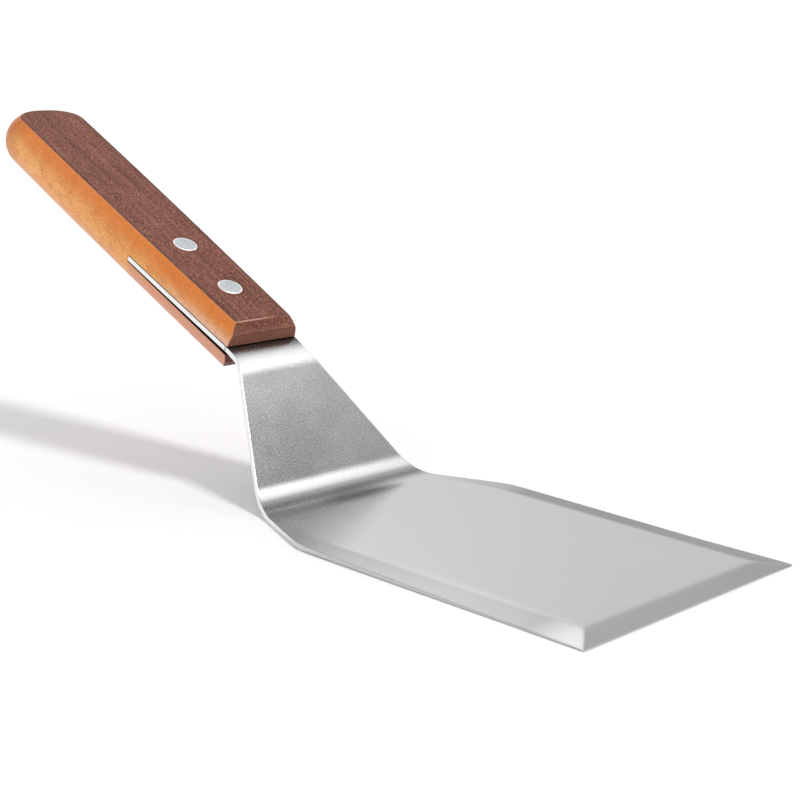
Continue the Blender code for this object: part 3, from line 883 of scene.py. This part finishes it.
    def edge_left(self, length: Array) -> tuple[Array, Array]:
        """Width of the side bevel and the thickness that it leaves, along the strip."""
        reach = self.blade_reach - length
        width = np.interp(reach, [self.bevel_start_reach, self.shoulder_reach, self.blade_reach],
                          [self.side_bevel_rear / 4, self.side_bevel_rear, self.side_bevel_front])
        left = np.interp(reach, [self.bevel_start_reach, self.shoulder_reach, self.full_bevel_reach],
                         [self.thickness, self.shoulder_edge_thickness, self.edge_thickness])
        return width, left

    def ground_away(self, length: Array, across: Array) -> tuple[Array, Array, Array]:
        """How deep the bevels are ground below the sheet's upper face, and where they are.

        Each bevel is a slope that starts softly: half of a share plus the root of its square and a
        small square. Where side and front bevels meet, the deeper one wins, on a soft mitre.

        Args:
            length: Distance back from the front edge.
            across: Distance from the middle line.

        Returns:
            The depth, the grey that the grinding and painted shade leave on the steel, and a painted
            highlight on the near bevel.
        """
        width, left = self.edge_left(length)
        soft = self.bevel_softness
        full = (1.0 + math.hypot(1.0, soft)) / 2
        side_share = (width - (self.half_width(length) - np.abs(across))) / width
        front_share = (self.front_bevel - length) / self.front_bevel
        side = (self.thickness - left) * (side_share + np.hypot(side_share, soft)) / 2 / full
        front = ((self.thickness - self.edge_thickness)
                 * (front_share + np.hypot(front_share, soft)) / 2 / full)
        mitre = np.interp(across, [-self.front_width / 2, self.front_width / 2],
                          [self.near_mitre_softness, self.far_mitre_softness])
        depth = (side + front) / 2 + np.hypot((side - front) / 2, mitre) - mitre
        depth = np.clip(depth, 0.0, self.thickness - self.edge_thickness)
        fade_in = np.clip((self.thickness - left) / self.full_grey_depth, 0.0, 1.0)
        on_side = np.clip(side_share / self.shade_share, 0.0, 1.0) * fade_in
        on_front = np.clip(front_share / self.shade_share, 0.0, 1.0)
        on_side = on_side * np.clip((side - front) / self.mitre_blend + 0.5, 0.0, 1.0)
        # Painted shade: a darker line along the near bevel's crease; the far bevel takes a fixed grey.
        crease = self.crease_shade * np.exp(-((side_share - self.crease_at) / self.crease_width) ** 2)
        near = np.where(across < 0.0, self.near_shade * (1.0 - self.painted_edge_highlight(length)) + crease,
                        self.far_shade)
        front_shade = np.interp(across, [-self.front_width / 2, self.front_width / 2],
                                self.front_shades)
        mask = np.maximum(on_side * near, on_front * (1.0 - on_side) * front_shade)
        # Painted highlight on the near bevel towards its front corner.
        bright = np.where(across < 0.0, on_side * self.painted_edge_highlight(length) * self.corner_shine, 0.0)
        return depth, mask, bright

    def painted_edge_highlight(self, length: Array) -> Array:
        """Share of the painted highlight on the near bevel, growing towards the front corner."""
        share = np.clip((self.highlight_from - length) / (self.highlight_from - self.highlight_to), 0.0, 1.0)
        return share * share * (3.0 - 2.0 * share)

    def stations(self) -> Array:
        """Lengths along the strip at which a row of points lies, closer where it bends or turns."""
        shoulder_at = self.blade_reach - self.shoulder_reach
        front_zone, corner, margin, close = 14 * MM, 6 * MM, 2 * MM, 1 * MM
        stops = ((0.0, front_zone, 34), (front_zone, shoulder_at - corner, 96),
                 (shoulder_at - corner, shoulder_at + corner, 30),
                 (shoulder_at + corner, self.lower_bend_at - margin, 18),
                 (self.lower_bend_at - margin, self.shank_at + margin, 44),
                 (self.shank_at + margin, self.upper_bend_at - close, 34),
                 (self.upper_bend_at - close, self.tang_at + close, 26),
                 (self.tang_at + close, self.handle_at, 6), (self.handle_at, self.end, 34))
        spans = [np.linspace(low, high, steps, endpoint=False) for low, high, steps in stops]
        return np.append(np.concatenate(spans), self.end)

    def section(self, length: Array) -> tuple[Array, Array, Array, Array]:
        """Return each row's cross-section: across, height in the sheet, and two masks.

        The first mask is up to 1 where the sheet is ground to a bevel, with painted shade in its grey, and 1
        on the far arris as painted shade; the second is a painted highlight on the near arris and the near
        bevel's front.

        A row runs over the upper face from -Y to +Y, round the +Y arris, back along the underside
        and round the -Y arris. Columns crowd towards the sides, half evenly and half as a sine.
        """
        even = np.linspace(-1.0, 1.0, self.upper_columns)
        share = 0.55 * even + 0.45 * np.sin(math.pi / 2 * even)
        half = self.half_width(length)[:, None]
        depth_at_edge, _, _ = self.ground_away(length, half[:, 0])
        edge = (self.thickness - depth_at_edge)[:, None]
        radius = np.minimum(self.arris, 0.4 * edge)
        across = (half - radius) * share
        depth, mask, bright = self.ground_away(length[:, None] + 0.0 * across, across)
        upper = self.thickness / 2 - depth
        turn = np.linspace(0.0, math.pi / 2, self.arris_steps + 1)[None, :]
        out = half - radius + radius * np.sin(turn)
        top_arc = self.thickness / 2 - depth_at_edge[:, None] - radius * (1.0 - np.cos(turn))
        low_arc = -self.thickness / 2 + radius * (1.0 - np.cos(turn))
        under = (half - radius) * np.linspace(1.0, -1.0, self.under_columns)[None, 1:-1]
        rim = np.repeat(mask[:, -1:], turn.shape[1], axis=1)
        y = np.hstack([across, out[:, 1:], out[:, ::-1], under, -out, -out[:, :0:-1]])
        z = np.hstack([upper, top_arc[:, 1:], low_arc[:, ::-1], np.full(under.shape, -self.thickness / 2),
                       low_arc, top_arc[:, :0:-1]])
        # Painted shade: the far arris takes the full grey, while the near one keeps the edge's grey.
        far_arris_shade = 0.0 * rim + 1.0
        m = np.hstack([mask, far_arris_shade[:, 1:], far_arris_shade, np.zeros(under.shape), rim, rim[:, :0:-1]])
        # Painted highlight along the near arris, fading in from the blade to the shank.
        shine = np.interp(length, [self.lower_bend_at - 20 * MM, self.lower_bend_at],
                          [self.blade_rim_highlight, self.shank_rim_highlight])[:, None]
        near_arris_highlight = np.repeat(shine, turn.shape[1], axis=1)
        rim_highlight = np.hstack([bright, 0.0 * rim[:, 1:], 0.0 * rim, 0.0 * under, near_arris_highlight,
                             near_arris_highlight[:, 1:]])
        return y, z, m, rim_highlight

    def build(self, rivets: list["CutlersRivet"]) -> Piece:
        """Make the strip, punch its rivet holes and dress it.

        Args:
            rivets: The rivets that pass through the tang.

        Returns:
            The finished piece.
        """
        length = self.stations()
        y, height, ground, rim = self.section(length)
        x, z, slope = self.path(length)
        points = np.stack([x[:, None] + height * np.sin(slope)[:, None], y,
                           z[:, None] + height * np.cos(slope)[:, None]], axis=-1)
        rows, columns = y.shape
        faces = ring_faces(rows, columns, closed=True).tolist()
        faces += [list(range(columns)), list(range((rows - 1) * columns, rows * columns))]
        uv = np.stack([y, np.repeat(length[:, None], columns, axis=1)], axis=-1)
        piece = make_piece("blade_sheet", points.reshape(-1, 3), faces, uv.reshape(-1, 2),
                           {"ground": ground, "rim": rim}, sharp=45.0)
        cut(piece, [rivet.hole_tool(number) for number, rivet in enumerate(rivets)])
        piece.data.materials.clear()
        piece.data.materials.append(self.finish.material())
        return piece


# ---- rivets -------------------------------------------------------------------------------------

class RivetHalf(Enum):
    """The two halves of a cutler's rivet."""

    SOCKET = "socket"
    POST = "post"


@dataclass
class CutlersRivet:
    """A two-part rivet: a tube from above takes a post from below, and the heads lie in seats."""

    label: str
    setback: float
    handle: SlottedHandle
    finish: Material
    head_thickness: float = 1.2 * MM
    head_proud: float = 0.2 * MM
    head_crown: float = 0.06 * MM
    edge_radius: float = 0.22 * MM
    rim_width: float = 0.45 * MM
    tube_radius: float = 2.3 * MM
    post_radius: float = 1.45 * MM
    fit_gap: float = 0.3 * MM
    end_clearance: float = 0.9 * MM
    segments: int = 96

    def place(self, piece: Piece) -> Piece:
        """Carry a piece turned about Z to the rivet's axis in the handle, in its mesh."""
        turn = Matrix.Rotation(self.handle.tilt, 4, "Y")
        seat = Matrix.Translation(self.handle.origin) @ turn @ Matrix.Translation((-self.setback, 0, 0))
        piece.data.transform(seat)
        return piece

    def bore_tool(self, number: int) -> Piece:
        """Make the tool that cuts the rivet's bore and both seats out of the handle."""
        half = self.handle.shape.thickness / 2
        seat = half - (self.head_thickness - self.head_proud + self.fit_gap)
        past = half + self.head_thickness
        wide, bore = self.handle.shape.rivet_radius + self.fit_gap, self.tube_radius + self.fit_gap
        profile = np.array([(0.0, past), (wide, past), (wide, seat), (bore, seat), (bore, -seat),
                            (wide, -seat), (wide, -past), (0.0, -past)])
        return self.place(turned(f"bore_{number}", profile, self.segments))

    def hole_tool(self, number: int) -> Piece:
        """Make the tool that punches the rivet's hole in the tang."""
        bore, past = self.tube_radius + self.fit_gap, 3.0 * MM
        profile = np.array([(0.0, past), (bore, past), (bore, -past), (0.0, -past)])
        return self.place(turned(f"hole_{number}", profile, self.segments // 2))

    def head(self) -> Array:
        """Profile of a head from its pole outwards: a shallow crown, a round edge, a straight side."""
        face = self.handle.shape.thickness / 2 + self.head_proud
        flat = self.handle.shape.rivet_radius - self.edge_radius
        radius = flat * np.linspace(0.0, 1.0, 9)
        crown = np.stack([radius, face - self.head_crown * (radius / flat) ** 2], axis=1)
        turn = np.linspace(0.0, math.pi / 2, 7)[1:]
        edge = np.stack([flat + self.edge_radius * np.sin(turn),
                         face - self.head_crown - self.edge_radius * (1.0 - np.cos(turn))], axis=1)
        side = np.array([(self.handle.shape.rivet_radius, face - self.head_thickness)])
        return np.vstack([crown, edge, side])

    def profile(self, half: RivetHalf) -> Array:
        """Profile of one half of the rivet, from the pole of its head to the pole of its stem."""
        shoulder = self.handle.shape.thickness / 2 + self.head_proud - self.head_thickness
        if half is RivetHalf.SOCKET:
            tube_end, bore = self.end_clearance - shoulder, self.post_radius + self.fit_gap
            stem = [(self.tube_radius, shoulder), (self.tube_radius, tube_end), (bore, tube_end),
                    (bore, shoulder), (0.0, shoulder)]
            return np.vstack([self.head(), np.array(stem)])
        post_end, point = self.end_clearance - shoulder, self.fit_gap
        stem = [(self.post_radius, shoulder), (self.post_radius, post_end + point),
                (self.post_radius - point, post_end), (0.0, post_end)]
        return np.vstack([self.head(), np.array(stem)]) * np.array([1.0, -1.0])

    def build(self, half: RivetHalf) -> Piece:
        """Make one half of the rivet, mark its rim for a painted highlight and dress it."""
        profile = self.profile(half)
        rim = np.where(profile[:, 0] > self.handle.shape.rivet_radius - self.rim_width, 1.0, 0.0)
        piece = self.place(turned(f"{self.label}_rivet_{half.value}", profile, self.segments, rim))
        piece.data.materials.append(self.finish)
        return piece


# ---- studio -------------------------------------------------------------------------------------

@dataclass(frozen=True)
class Card:
    """A soft-edged light panel or black flag, hung where a part of the sheet mirrors it.

    The part is given by how far it slopes up towards the handle and leans to +Y. The card's middle
    is what the camera sees in that part, moved aside and up by the last two angles. All angles are
    in degrees.
    """

    half_width: float
    half_height: float
    brightness: float
    slope: float = 0.0
    lean: float = 0.0
    aside: float = 0.0
    above: float = 0.0


@dataclass
class Studio:
    """A white sweep, a key light high on the right, light panels and black flags in a pale room."""

    sheet: BentSheet
    camera_ahead: float = 180.03 * MM       # of the blade's front edge
    camera_across: float = -258.42 * MM
    camera_height: float = 116.39 * MM
    view_heading: float = math.radians(46.69)
    view_dip: float = math.radians(12.80)
    view_roll: float = math.radians(-0.234)
    lens: float = 67.14
    floor_size: float = 12.0
    floor_drop: float = 0.05 * MM
    key_direction: Vector = field(default_factory=lambda: Vector((0.40, 0.27, 1.0)))
    key_strength: float = 1.35
    key_spread: float = math.radians(10.5)
    room: tuple[tuple[float, float], ...] = ((0, 1.05), (12, 1.05), (20, 0.95), (35, 0.9),
                                             (42, 0.55), (90, 0.55))    # height in degrees, grey
    side_softness: float = 5.0
    top_softness: float = 3.0

    def __post_init__(self) -> None:
        """Work out where the camera stands in the tool's frame."""
        ahead = self.sheet.front_x + self.camera_ahead
        self.camera_place = Vector((ahead, self.camera_across, self.camera_height))

    def cards(self) -> list[Card]:
        """List the panels and flags; one that comes later hangs in front of those before it.

        The strip light shows in both bends, with a flag below it for the dark side of the lower one.
        The shank's flag hangs beside what the shank sees. The panel brightens the near bevel and the
        low flag darkens the far one.

        Returns:
            The cards in the order in which they are painted on the wall.
        """
        sheet = self.sheet
        steep = math.degrees(sheet.shank_angle)
        bevel = math.degrees(math.atan2(sheet.thickness - sheet.edge_thickness, sheet.side_bevel_front))
        strip = Card(slope=40, half_width=20, half_height=5, brightness=2.2, above=3)
        bend_flag = Card(slope=18, half_width=10, half_height=6, brightness=0.1, above=3)
        shank_flag = Card(slope=steep, half_width=30, half_height=15, brightness=0.0, aside=-30)
        near_panel = Card(lean=-bevel, half_width=25, half_height=12, brightness=2.2, aside=25, above=10)
        far_flag = Card(lean=bevel, half_width=12, half_height=2, brightness=0.0, above=2)
        return [strip, bend_flag, shank_flag, near_panel, far_flag]

    def hung(self, card: Card) -> tuple[float, float]:
        """Return the heading and height, in degrees, at which a card's middle hangs.

        The sight line from the camera to the part is reflected there. A part with no slope is taken
        at the middle of the blade, and any other where the lower bend reaches its slope.
        """
        slope, lean = math.radians(card.slope), math.radians(card.lean)
        bend = self.sheet.lower_bend_at + self.sheet.bend_radius * slope
        length = bend if card.slope > 0 else self.sheet.blade_reach / 2
        x, z, _ = self.sheet.path(np.array([length]))
        normal = Vector((math.sin(slope), math.sin(lean), math.cos(slope) * math.cos(lean))).normalized()
        sight = (Vector((float(x[0]), 0.0, float(z[0]))) - self.camera_place).normalized()
        way = sight.reflect(normal)
        heading = math.degrees(math.atan2(way.y, way.x))
        return heading + card.aside, math.degrees(math.asin(way.z)) + card.above

    def floor(self) -> Piece:
        """Lay the floor just under the blade."""
        side = self.floor_size / 2
        points = np.array([(-side, -side), (side, -side), (side, side), (-side, side)])
        points = np.hstack([points, np.full((4, 1), -self.floor_drop)])
        piece = make_piece("floor", points, [[0, 1, 2, 3]])
        piece.data.materials.append(PaperSweep().material())
        return piece

    def key(self) -> Piece:
        """Hang the key light, whose width gives the shadow its soft edge."""
        lamp = bpy.data.lights.new("key", "SUN")
        lamp.energy = self.key_strength
        lamp.angle = self.key_spread
        holder = bpy.data.objects.new("key", lamp)
        holder.rotation_euler = self.key_direction.to_track_quat("Z", "Y").to_euler()
        bpy.context.scene.collection.objects.link(holder)
        return holder

    def window(self, tree: Tree, angle: Socket, centre: float, half: float, softness: float) -> Socket:
        """Return 1 within half a width of the centre, falling smoothly to 0 round that distance."""
        distance = math_node(tree, "ABSOLUTE", math_node(tree, "SUBTRACT", angle, centre))
        return fade(tree, distance, half - softness, half + softness, 1.0, 0.0)

    def surroundings(self) -> None:
        """Paint the room by direction: a wall whose grey changes with height, and the cards on it."""
        world = bpy.data.worlds.new("pale_room")
        bpy.context.scene.world = world
        world.use_nodes = True
        tree = world.node_tree
        way = add_node(tree, "ShaderNodeTexCoord").outputs["Generated"]
        parts = add_node(tree, "ShaderNodeSeparateXYZ", {0: way})
        turn = math_node(tree, "ARCTAN2", parts.outputs["Y"], parts.outputs["X"])
        heading = math_node(tree, "WRAP", math_node(tree, "DEGREES", turn), 270.0, -90.0)
        height = math_node(tree, "DEGREES", math_node(tree, "ARCSINE", parts.outputs["Z"]))
        low, high = self.room[0][0], self.room[-1][0]
        share = add_node(tree, "ShaderNodeMapRange", {0: height, 1: float(low), 2: float(high)})
        wall = add_node(tree, "ShaderNodeValToRGB", {0: share.outputs[0]})
        while len(wall.color_ramp.elements) < len(self.room):
            wall.color_ramp.elements.new(1.0)
        for element, (angle, grey) in zip(wall.color_ramp.elements, self.room):
            element.position = (angle - low) / (high - low)
            element.color = (grey, grey, grey, 1.0)
        light = wall.outputs[0]
        for card in self.cards():
            card_heading, card_height = self.hung(card)
            LOG.info("card at heading %.0f and height %.0f", card_heading, card_height)
            cover = math_node(
                tree, "MULTIPLY",
                self.window(tree, heading, card_heading, card.half_width, self.side_softness),
                self.window(tree, height, card_height, card.half_height, self.top_softness))
            light = mix_colour(tree, cover, light, (card.brightness,) * 3 + (1.0,))
        tree.links.new(light, tree.nodes["Background"].inputs["Color"])

    def camera(self) -> Piece:
        """Set up the camera from its heading round Z, its dip below level and its roll."""
        ahead = Vector((-math.sin(self.view_heading) * math.cos(self.view_dip),
                        math.cos(self.view_heading) * math.cos(self.view_dip),
                        -math.sin(self.view_dip)))
        right = ahead.cross(Vector((0, 0, 1))).normalized()
        up = right.cross(ahead)
        rolled_right = math.cos(self.view_roll) * right + math.sin(self.view_roll) * up
        rolled_up = math.cos(self.view_roll) * up - math.sin(self.view_roll) * right
        view = Matrix((rolled_right, rolled_up, -ahead)).transposed().to_4x4()
        view.translation = self.camera_place
        data = bpy.data.cameras.new("camera")
        data.lens = self.lens
        data.sensor_width = 36.0
        data.clip_start = 0.01
        holder = bpy.data.objects.new("camera", data)
        holder.matrix_world = view
        bpy.context.scene.collection.objects.link(holder)
        bpy.context.scene.camera = holder
        return holder

    def build(self) -> None:
        """Set up camera, floor, key light and room, and a neutral picture transform."""
        self.camera()
        self.floor()
        self.key()
        self.surroundings()
        settings = bpy.context.scene.view_settings
        settings.view_transform = "Standard"
        settings.look = "None"


# ---- assembly -----------------------------------------------------------------------------------

def finish_piece(piece: Piece, node: str) -> None:
    """Hand a piece to the frame: it rides on the tool and stands for a node, whose part is hidden."""
    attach(piece, "root")
    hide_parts(node)
    LOG.info("%s stands for %s: %d faces", piece.name, node, len(piece.data.polygons))


def main() -> None:
    """Build the tool and its studio."""
    logging.basicConfig(level=logging.INFO, format="%(name)s: %(message)s")
    front_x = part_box("blade")[1].x
    sheet_plan = BentSheet(BrushedStainless(), SlottedHandle(OiledBeech(), Vector(), 0.0), front_x)
    x, z, _ = sheet_plan.path(np.array([sheet_plan.handle_at]))
    origin = Vector((float(x[0]), 0.0, float(z[0])))
    tilt = sheet_plan.tang_angle
    handle = SlottedHandle(OiledBeech(origin=origin, tilt=tilt), origin, tilt)
    sheet = BentSheet(BrushedStainless(), handle, front_x)
    rivet_metal = LinishedRivet().material()
    rivets = [CutlersRivet(label, setback, handle, rivet_metal)
              for label, setback in zip(("front", "rear"), handle.shape.rivet_setbacks)]
    finish_piece(sheet.build(rivets), "blade")
    finish_piece(handle.build(rivets), "handle")
    for rivet in rivets:
        for half in RivetHalf:
            finish_piece(rivet.build(half), f"rivet_{rivet.label}_{half.value}")
    Studio(sheet).build()


if __name__ == "__main__":
    main()
